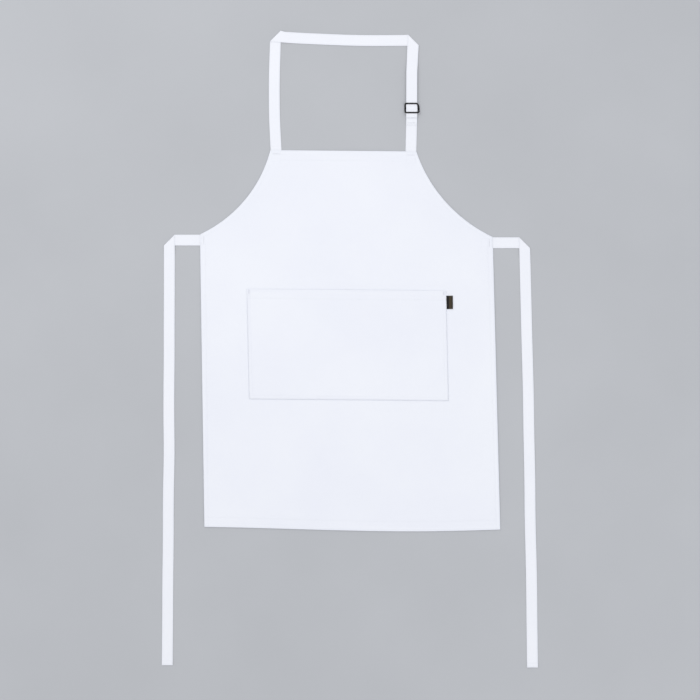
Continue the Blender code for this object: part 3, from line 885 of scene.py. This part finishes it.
def make_pocket_seams():
    front, back = [], []
    for inset in POCKET_ROWS:
        u_in, v_in = inset / POCKET_WIDTH, 1 - inset / POCKET_HEIGHT
        line = [(u_in, v) for v in even(0.0, v_in, BIB_STEPS)]
        line += [(u, v_in) for u in even(u_in, 1 - u_in, SEAM_STEPS)[1:]]
        line += [(1 - u_in, v) for v in even(v_in, 0.0, BIB_STEPS)[1:]]
        front.append(([on_pocket(u, v, HALF_CLOTH) for u, v in line], UP))
        flat = [pocket_point(u, v) for u, v in line]
        back.append(([Vector((p.x, p.y, PANEL_Z - HALF_CLOTH + rise(*p))) for p in flat], -UP))
    seam_v = POCKET_HEM_SEAM / POCKET_HEIGHT
    front.append(([on_pocket(u, seam_v, HALF_CLOTH) for u in even(0.0, 1.0, SEAM_STEPS)], UP))
    seams("pocket_seams_front", front, "apron")
    seams("pocket_seams_back", back, "apron")


LABEL_THICK = 0.28 * MM
LABEL_BOW = 0.5 * MM
LABEL_STEPS, LABEL_TURN_STEPS = 28, 8


def make_label():
    """A woven strip folded in half at its outer edge; both ends go into the pocket's seam."""
    low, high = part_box("side_label")
    hinge = pivot("label_flip")
    radius = (high.z - low.z - LABEL_THICK) / 2
    lift = rise(hinge.x, hinge.y) + (low.z + high.z) / 2
    fold = high.x - radius
    section = [(x, -radius, x - low.x) for x in even(hinge.x, fold, LABEL_TURN_STEPS)]
    for angle in even(-pi / 2, pi / 2, LABEL_TURN_STEPS)[1:]:
        section.append((fold + radius * cos(angle), radius * sin(angle), LABEL_WIDTH))
    section += [(x, radius, x - low.x) for x in even(fold, hinge.x, LABEL_TURN_STEPS)[1:]]
    grid, cloth = [], []
    for share in even(0.0, 1.0, LABEL_STEPS):
        y = mix(low.y, high.y, share)
        bow = LABEL_BOW * sin(pi * share)
        row = []
        for x, z, across in section:
            row.append(Vector((x, y, lift + z + bow * smooth(across / LABEL_WIDTH))))
        grid.append(row)
        edge = exp(-min(share, 1 - share) * (high.y - low.y) / MM)
        cloth.append([(across, y - low.y, edge) for _, _, across in section])
    label = cloth_sheet("label_loop", grid, cloth, "label", LABEL_THICK)
    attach(label, "label")
    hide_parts("side_label")
    return label


# ---- tapes


ACROSS = (-1.0, -0.95, -0.85, -0.6, -0.3, 0.0, 0.3, 0.6, 0.85, 0.95, 1.0)
TAPE_STEP = 5.0 * MM
FLUTTER = 0.45 * MM
SWAY = 1.7 * MM
# Waves per metre along a tape, and how far apart its two edges are in the noise.
FLUTTER_WAVES, SWAY_WAVES, EDGES_APART = 11.0, 6.0, 0.35
# Each tape has a place of its own in the noise, so that no two of them ripple alike.
PLACE_BY_AXIS, PLACE_PER_METRE, SWAY_PLACE = 5.0, 40.0, 7.0
# Of three stretches, only the one between the two ends flutters.
FLUTTER_BETWEEN = (0.0, FLUTTER, 0.0)
THINNER_EDGE = 0.55


def tape(name, rows):
    """A tape. Each row is its left and right edge, in the middle of its thickness, and the way up."""
    centres = [(left + right) / 2 for left, right, _ in rows]
    points, cloth = [], []
    travelled = 0.0
    for i, (left, right, up) in enumerate(rows):
        ahead = (centres[min(i + 1, len(rows) - 1)] - centres[max(i - 1, 0)]).normalized()
        travelled += (centres[i] - centres[max(i - 1, 0)]).length
        for facing, order in ((1, ACROSS), (-1, tuple(reversed(ACROSS)))):
            for a in order:
                place = left.lerp(right, (a + 1) / 2)
                points.append(place + up * (facing * HALF_CLOTH * (1 - THINNER_EDGE * a**8)))
                cloth.append((a * TAPE / 2, travelled + (place - centres[i]).dot(ahead), a**6))
    around = 2 * len(ACROSS)
    faces = tube_faces(0, len(rows), around)
    for i, flip in ((0, True), (len(rows) - 1, False)):
        for k in range(len(ACROSS) - 1):
            a = i * around + k
            b = i * around + around - 1 - k
            quad = (a, a + 1, b - 1, b)
            faces.append(tuple(reversed(quad)) if flip else quad)
    piece = new_piece(name, points, faces, cloth, "tape")
    keep_faces_flat(piece)
    return piece


def tape_edges(axis, *nodes):
    """The two long edges of CAD tapes that run along this axis (0 for X, 1 for Y), each a list of
    (along, aside), lower or left edge first."""
    edges = ([], [])
    for node in nodes:
        split = middle(node)[1 - axis]
        for point in outline(node):
            edges[1 if point[1 - axis] > split else 0].append((point[axis], point[1 - axis]))
    return [sorted(edge) for edge in edges]


def aside_at(edge, along):
    """How far aside an edge is at this place along it, carried on straight past its ends."""
    i = 0
    while i < len(edge) - 2 and edge[i + 1][0] < along:
        i += 1
    (a, aside_a), (b, aside_b) = edge[i], edge[i + 1]
    return mix(aside_a, aside_b, (along - a) / (b - a))


def tape_rows(axis, edges, start, end, height, flutter=0.0):
    """Rows from start to end, each of which says where along the two edges the row begins. A tape
    that flutters also sways a little from side to side; both die away at its ends."""
    steps = max(3, round(max(abs(end[0] - start[0]), abs(end[1] - start[1])) / TAPE_STEP))
    own_place = axis * PLACE_BY_AXIS + edges[0][0][1] * PLACE_PER_METRE
    rows = []
    for t in even(0.0, 1.0, steps):
        share = sin(pi * t) ** 2 if flutter else 0.0
        spot = Vector((mix(start[0], end[0], t) * SWAY_WAVES, SWAY_PLACE, own_place))
        sway = SWAY * noise.noise(spot) * share
        ends = []
        for which in (0, 1):
            along = mix(start[which], end[which], t)
            aside = aside_at(edges[which], along) + sway
            wave = noise.noise(Vector((along * FLUTTER_WAVES, which * EDGES_APART, own_place)))
            lift = flutter * (0.5 + 0.5 * wave) * share
            place = (along, aside) if axis == 0 else (aside, along)
            ends.append(Vector((*place, height(along) + lift)))
        rows.append((ends[0], ends[1], UP))
    return rows


def stretches(axis, edges, stops, height, flutters=(0.0, 0.0, 0.0)):
    """The rows of stretches one after another, each from one of these stops to the next."""
    rows = []
    for start, end, flutter in zip(stops, stops[1:], flutters):
        rows += tape_rows(axis, edges, start, end, height, flutter)[1 if rows else 0:]
    return rows


def turned_over(rows):
    """The same rows with their edges swapped, so that the faces of a tape that runs right or up
    point outward."""
    return [(right, left, up) for left, right, up in rows]


def flat_at(z):
    return lambda along: z


CREASE_STEPS, CREASE_TURN_STEPS = 16, 8
CREASE_THICK = 0.85 * CLOTH
CREASE_WEAR = 0.3


def crease(name, first, second, low, high, out):
    """The narrow round of a flat fold, along the line from first to second."""
    radius = (high - low) / 2
    grid, cloth = [], []
    angles = even(0.0, pi, CREASE_TURN_STEPS)
    for share in even(0.0, 1.0, CREASE_STEPS):
        line = first.lerp(second, share)
        row = []
        for angle in angles:
            place = line + out * (radius * sin(angle))
            row.append(Vector((place.x, place.y, low + radius * (1 - cos(angle)))))
        grid.append(row)
        cloth.append([(share * TAPE, radius * angle, CREASE_WEAR) for angle in angles])
    return cloth_sheet(name, grid, cloth, "tape", CREASE_THICK)


ROOT_BEND = 9.0 * MM
ON_FLOOR = HEM_Z
ONE_UP = HEM_Z + LAYER


# ---- waist ties


TIE_DROP_START = 3.0 * MM
TIE_DROP = 26.0 * MM
TIE_TURN = 11.0 * MM
TIE_TURN_RAMP = 2.5 * MM
TIE_TURN_STEPS = 12
TIE_TURN_SEAMS = (2.5 * MM, TIE_TURN - 1.5 * MM)


def make_tie(side, word):
    """One waist tie: its root at the side seam, the stub, the flat fold and the tail."""
    root_body, end_body = f"{word}_tie_root", f"{word}_tie_end"
    sewn, stub, tail = (f"waist_tie_{word}_{part}" for part in ("sewn_end", "stub", "tail"))
    hinge = pivot(f"tie_{word}_fold")
    bend_end = hinge.x + side * ROOT_BEND
    inner_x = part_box(sewn)[0 if side > 0 else 1].x
    stub_edges = tape_edges(0, stub)
    rows = tape_rows(0, stub_edges, (inner_x, inner_x), (bend_end, bend_end), flat_at(ON_FLOOR))
    root = tape(f"tie_{word}_root", rows if side < 0 else turned_over(rows))
    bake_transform(root)
    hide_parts(sewn)

    ends = [edge[0 if side < 0 else -1][0] for edge in stub_edges]
    rows = tape_rows(0, stub_edges, (bend_end, bend_end), ends, flat_at(ON_FLOOR))
    stub_tape = tape(f"tie_{word}_stub", rows if side < 0 else turned_over(rows))
    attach(stub_tape, root_body)
    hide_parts(stub)

    low_corner = Vector((ends[0], stub_edges[0][0][1]))
    high_corner = Vector((ends[1], stub_edges[1][0][1]))
    out = Vector((side, 1)).normalized()
    fold = crease(f"tie_{word}_crease", low_corner, high_corner, ON_FLOOR, ONE_UP, out)
    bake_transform(fold)

    tail_tape, turn = make_tie_tail(word, tail, end_body, low_corner.y)
    return tail_tape, [root, stub_tape, fold, turn]


def make_tie_tail(word, node, body, stub_low):
    """The long run: on top of the stub, down onto the floor, and up over its own turned end."""
    edges = tape_edges(1, node)
    top = [edge[-1][0] for edge in edges]
    end = edges[0][0][0]
    drop = stub_low - TIE_DROP_START
    turn_start = end + TIE_TURN + TIE_TURN_RAMP

    def height(y):
        past_stub = smooth((drop - y) / TIE_DROP)
        on_turn = smooth((turn_start - y) / TIE_TURN_RAMP)
        return ON_FLOOR + LAYER * (1 - past_stub + on_turn)

    stops = (top, (drop - TIE_DROP,) * 2, (turn_start,) * 2, (end,) * 2)
    tail = tape(f"tie_{word}_tail", stretches(1, edges, stops, height, FLUTTER_BETWEEN))
    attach(tail, body)
    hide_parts(node)
    corners = [Vector((aside_at(edge, end), end)) for edge in edges]
    pairs = []
    for share in even(0.0, 1.0, TIE_TURN_STEPS):
        edge = corners[0].lerp(corners[1], share)
        pairs.append((edge, edge + Vector((0, TIE_TURN))))
    turn = turned_edge(f"tie_{word}_end_turn", pairs, ONE_UP, ON_FLOOR, "tape", lambda x, y: 0.0)
    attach(turn, body)
    lines = []
    for inset in TIE_TURN_SEAMS:
        line = [Vector((p.x, p.y + inset, ONE_UP + HALF_CLOTH)) for p, _ in pairs]
        lines.append((line, UP))
        lines.append(([p - UP * (LAYER + CLOTH) for p in line], -UP))
    seams(f"tie_{word}_end_stitches", lines, body)
    return tail, turn


# ---- neck strap


LEFT_CORNER_BELOW = 18.0 * MM
CROSS_DROP_START = 30.0 * MM
CROSS_DROP = 26.0 * MM
STRAIGHT_ABOVE_SLIDER = 78.0 * MM
RIGHT_DROP = 48.0 * MM
TAIL_SEAMS = (1.8 * MM, 4.4 * MM)
TAIL_SEAM_STEPS = 8


def neck_axis_y(x):
    """Where the bib's top edge, the axis that the neck strap folds on, is at this x."""
    joint = JOINTS["neck_fold"]
    return joint["pos_m"][1] + (x - joint["pos_m"][0]) * joint["axis"][1] / joint["axis"][0]


def neck_root(name, edges, node):
    """The sewn end of a neck tape under the bib's corner, carried on a little past the bib's edge."""
    x = middle(node).x
    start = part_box(node)[0].y
    fold_y = neck_axis_y(x)
    end = fold_y + ROOT_BEND
    rows = tape_rows(1, edges, (start, start), (end, end), flat_at(ON_FLOOR))
    root = tape(name, turned_over(rows))
    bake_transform(root)
    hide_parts(node)
    return root, end


def make_neck_left():
    """The left stretch: its root, its long run and its corner."""
    edges = tape_edges(1, "neck_strap_sewn_end", "neck_strap_left")
    root, start = neck_root("neck_left_root", edges, "neck_strap_sewn_end")
    top = [edge[-1][0] for edge in edges]
    seam = min(top) - LEFT_CORNER_BELOW
    rows = tape_rows(1, edges, (start, start), (seam, seam), flat_at(ON_FLOOR), FLUTTER)
    run = tape("neck_left_run", turned_over(rows))
    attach(run, "neck_loop")
    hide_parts("neck_strap_left")
    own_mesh(run)
    rows = tape_rows(1, edges, (seam, seam), top, flat_at(ON_FLOOR))
    corner = tape("neck_left_corner", turned_over(rows))
    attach(corner, "neck_band")
    ends = [Vector((aside_at(edge, y), y)) for edge, y in zip(edges, top)]
    fold = crease("neck_left_crease", ends[0], ends[1], ON_FLOOR, ONE_UP, Vector((-1, 1)).normalized())
    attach(fold, "neck_band")
    return run, [root, corner, fold]


def make_neck_top():
    """The stretch behind the neck: over the left corner, then on the floor as far as the right one."""
    edges = tape_edges(0, "neck_strap_top")
    left, right = [edge[0][0] for edge in edges], [edge[-1][0] for edge in edges]
    drop = min(left) + CROSS_DROP_START

    def height(x):
        return mix(ONE_UP, ON_FLOOR, smooth((x - drop) / CROSS_DROP))

    stops = (left, (drop + CROSS_DROP,) * 2, (min(right) - TAPE,) * 2, right)
    cross = tape("neck_top_run", turned_over(stretches(0, edges, stops, height, FLUTTER_BETWEEN)))
    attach(cross, "neck_band")
    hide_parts("neck_strap_top")
    ends = [Vector((x, aside_at(edge, x))) for edge, x in zip(edges, right)]
    fold = crease("neck_right_crease", ends[0], ends[1], ON_FLOOR, ONE_UP, Vector((1, 1)).normalized())
    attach(fold, "neck_band")
    return cross, [fold]


def make_neck_right():
    """The right stretch: from the corner down onto the slider, through it, to a short stitched tail."""
    edges = tape_edges(1, "neck_strap_right")
    top = [edge[-1][0] for edge in edges]
    end = edges[0][0][0]
    through_slider = level("neck_strap_right")
    straight_end = middle("strap_slider").y + STRAIGHT_ABOVE_SLIDER

    def height(y):
        return mix(through_slider, ONE_UP, smooth((y - straight_end) / RIGHT_DROP))

    stops = ((end,) * 2, (straight_end,) * 2, (straight_end + RIGHT_DROP,) * 2, top)
    run = tape("neck_right_run", turned_over(stretches(1, edges, stops, height)))
    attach(run, "neck_band")
    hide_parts("neck_strap_right")
    lines = []
    for inset in TAIL_SEAMS:
        ends = [aside_at(edge, end + inset) for edge in edges]
        for facing in (1, -1):
            z = through_slider + facing * HALF_CLOTH
            line = [Vector((x, end + inset, z)) for x in even(ends[0] + MM, ends[1] - MM, TAIL_SEAM_STEPS)]
            lines.append((line, UP * facing))
    seams("neck_right_end_stitches", lines, "neck_band")
    return run


# ---- slider and buckle strap


BAR_WIDE = 3.3 * MM
BAR_THICK = 1.2 * MM
BAR_LOOP_GAP = 0.3 * MM
LOOP_PAST_BAR = 1.3 * MM
FRONT_LEVEL = 15.0 * MM
FRONT_SLOPE_END = 26.0 * MM
FRONT_PAST_BARTACK = 4.0 * MM
BACK_BELOW_LOOP = 8.0 * MM
BACK_STEPS, LOOP_STEPS, SLOPE_STEPS, FRONT_STEPS = 18, 14, 6, 4


def make_buckle_strap():
    """From the right bib corner up behind the slider's centre bar, round it, and down on itself."""
    node = "buckle_strap_sewn_end"
    slider, start_middle = middle("strap_slider"), middle(node)
    bar_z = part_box("strap_slider")[0].z + BAR_THICK / 2

    sewn_low, sewn_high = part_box(node)

    def centre_x(y):
        return mix(start_middle.x, slider.x, max(y - sewn_high.y, 0.0) / (slider.y - sewn_high.y))

    edges = []
    for aside in (-TAPE / 2, TAPE / 2):
        edges.append([(y, centre_x(y) + aside) for y in (sewn_low.y, sewn_high.y, slider.y)])
    root, start = neck_root("buckle_root", edges, node)

    radius = BAR_THICK / 2 + BAR_LOOP_GAP + HALF_CLOTH
    loop_y = slider.y + LOOP_PAST_BAR
    path = [(y, ON_FLOOR, UP) for y in even(start, loop_y - BACK_BELOW_LOOP, BACK_STEPS)]
    for angle in even(-pi / 2, pi / 2, LOOP_STEPS):
        out = Vector((0, cos(angle), sin(angle)))
        path.append((loop_y + radius * out.y, bar_z + radius * out.z, -out))
    front_z = bar_z + radius
    path += [(y, front_z, -UP) for y in even(loop_y, slider.y - FRONT_LEVEL, FRONT_STEPS)[1:]]
    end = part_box("bartack_buckle_strap")[0].y - FRONT_PAST_BARTACK
    slope_end = slider.y - FRONT_SLOPE_END
    for share in even(0.0, 1.0, SLOPE_STEPS)[1:]:
        y = mix(slider.y - FRONT_LEVEL, slope_end, share)
        path.append((y, mix(front_z, ONE_UP, smooth(share)), -UP))
    path += [(y, ONE_UP, -UP) for y in even(slope_end, end, FRONT_STEPS)[1:]]
    rows = []
    for y, z, up in path:
        x = centre_x(y)
        rows.append((Vector((x + TAPE / 2, y, z)), Vector((x - TAPE / 2, y, z)), up))
    strap = tape("buckle_tape", rows)
    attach(strap, "neck_loop")
    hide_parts("buckle_strap")
    return strap, [root]


SLIDER_CORNER = 2.6 * MM
SLIDER_ROUND_CORNER = (6.5 * MM, 10.5 * MM)
CORNER_STEPS = 8
SECTION_STEPS = 4
SECTION_ROUND = 0.42 * MM
CENTRE_BAR_THICK = 0.94 * BAR_THICK
CENTRE_BAR_STEPS = 24


def rounded_section(width, height, radius):
    """A bar's cross-section with round edges, and how near each point is to one of those edges."""
    points = []
    for quarter, (sx, sz) in enumerate(((1, 1), (-1, 1), (-1, -1), (1, -1))):
        for i in range(SECTION_STEPS + 1):
            angle = (quarter + i / SECTION_STEPS) * pi / 2
            near = sin(pi * i / SECTION_STEPS)
            x = sx * (width / 2 - radius) + radius * cos(angle)
            z = sz * (height / 2 - radius) + radius * sin(angle)
            points.append((x, z, near))
    return points


def slider_path(half_x, half_y):
    """Points round the frame and the way out at each. The upper right corner is the roundest."""
    path = []
    for quarter, (sx, sy) in enumerate(((1, 1), (-1, 1), (-1, -1), (1, -1))):
        radius_x, radius_y = SLIDER_ROUND_CORNER if quarter == 0 else (SLIDER_CORNER, SLIDER_CORNER)
        centre = Vector((sx * (half_x - radius_x), sy * (half_y - radius_y)))
        for i in range(CORNER_STEPS + 1):
            angle = (quarter + i / CORNER_STEPS) * pi / 2
            out = Vector((cos(angle) / radius_x, sin(angle) / radius_y)).normalized()
            path.append((centre + Vector((radius_x * cos(angle), radius_y * sin(angle))), out))
    filled = []
    for (a, out_a), (b, out_b) in zip(path, path[1:] + path[:1]):
        steps = max(1, round((b - a).length / MM))
        for i in range(steps):
            share = i / steps
            filled.append((a.lerp(b, share), out_a.lerp(out_b, share).normalized()))
    return filled


def make_slider():
    """One piece of metal: a frame bowed forward at both ends, and a centre bar behind the strap."""
    low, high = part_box("strap_slider")
    centre = (low + high) / 2
    bow = high.z - low.z - BAR_THICK
    end = (high.y - low.y) / 2 - BAR_WIDE

    def height(y):
        return low.z + BAR_THICK / 2 + bow * smooth((abs(y) - BAR_WIDE) / (end - BAR_WIDE))

    section = rounded_section(BAR_WIDE, BAR_THICK, SECTION_ROUND)
    half_x, half_y = (high.x - low.x - BAR_WIDE) / 2, (high.y - low.y - BAR_WIDE) / 2
    points, cloth = [], []
    path = slider_path(half_x, half_y)
    for place, out in path:
        for across, up, near in section:
            spot = place + out * across
            points.append(Vector((centre.x + spot.x, centre.y + spot.y, height(place.y) + up)))
            cloth.append((spot.x, spot.y, near))
    around, first = len(section), len(points)
    faces = tube_faces(0, len(path), around, closed=True, flip=True)
    thin = rounded_section(BAR_WIDE, CENTRE_BAR_THICK, SECTION_ROUND)
    stations = even(-half_x, half_x, CENTRE_BAR_STEPS)
    for x in stations:
        for y, up, near in thin:
            points.append(Vector((centre.x + x, centre.y + y, height(0.0) + up)))
            cloth.append((x, y, near))
    faces += tube_faces(first, len(stations), around, flip=True)
    faces.append(tuple(range(first, first + around)))
    faces.append(tuple(reversed(range(first + (len(stations) - 1) * around, len(points)))))
    slider = new_piece("slider_metal", points, faces, cloth, "slider")
    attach(slider, "neck_loop")
    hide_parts("strap_slider")


# ---- floor, light and camera


PICTURE_SHARE = 1.1002
PICTURE_CENTRE = (0.4 * MM, -2.6 * MM)
LENS = 85.0
FLOOR_SIZE = 60.0
FLOOR_GAP = 0.4 * MM
FLOOR_STEPS = 8
SKY_COLOUR = (0.97, 0.98, 1.0, 1.0)
SKY_STRENGTH = 0.84


def make_floor():
    """A wide flat floor, just below the apron."""
    low = CAD_BOX[0].z - FLOOR_GAP
    places = even(-FLOOR_SIZE / 2, FLOOR_SIZE / 2, FLOOR_STEPS)
    mesh = bpy.data.meshes.new("floor")
    points = [(x, y, low) for y in reversed(places) for x in places]
    mesh.from_pydata(points, [], grid_faces(FLOOR_STEPS + 1, FLOOR_STEPS + 1))
    mesh.materials.append(floor_material())
    floor = add_object("floor", mesh)


def add_area_light(name, place, size, energy, colour):
    data = bpy.data.lights.new(name, "AREA")
    data.shape = "DISK"
    data.size = size
    data.energy = energy
    data.color = colour
    light = add_object(name, data)
    light.location = place
    light.rotation_euler = (-Vector(place)).to_track_quat("-Z", "Y").to_euler()
    light.visible_camera = False


def set_up_light():
    world = bpy.data.worlds.new("studio")
    world.use_nodes = True
    background = world.node_tree.nodes["Background"]
    background.inputs["Color"].default_value = SKY_COLOUR
    background.inputs["Strength"].default_value = SKY_STRENGTH
    bpy.context.scene.world = world
    add_area_light("key", (-1.6, 1.9, 2.4), size=1.8, energy=22.0, colour=(1.0, 0.99, 0.98))
    add_area_light("fill", (1.9, -0.6, 2.6), size=2.2, energy=10.0, colour=(0.97, 0.98, 1.0))
    bpy.context.scene.view_settings.view_transform = "Standard"


def set_up_camera():
    """Straight above the apron's front, with the neck at the top of the picture."""
    data = bpy.data.cameras.new("camera")
    data.lens = LENS
    width = PICTURE_SHARE * (CAD_BOX[1].y - CAD_BOX[0].y)
    camera = add_object("camera", data)
    camera.location = (*PICTURE_CENTRE, width * LENS / data.sensor_width)
    bpy.context.scene.camera = camera


# ---- the whole apron


set_up_camera()
set_up_light()
make_floor()
panel_cloth = make_panel()
hem_folds = make_hems()
make_panel_seams()
pocket_cloth = make_pocket()
pocket_folds = make_pocket_folds()
make_pocket_seams()
label_loop = make_label()
neck_left, neck_left_parts = make_neck_left()
neck_top, neck_top_parts = make_neck_top()
neck_right = make_neck_right()
buckle_tape, buckle_parts = make_buckle_strap()
make_slider()
tie_left, tie_left_parts = make_tie(-1, "left")
tie_right, tie_right_parts = make_tie(1, "right")
for node_name in sorted(frame["nodes"]):
    if node_name.startswith("bartack"):
        bartack(node_name, "neck_loop" if "buckle" in node_name else "apron")
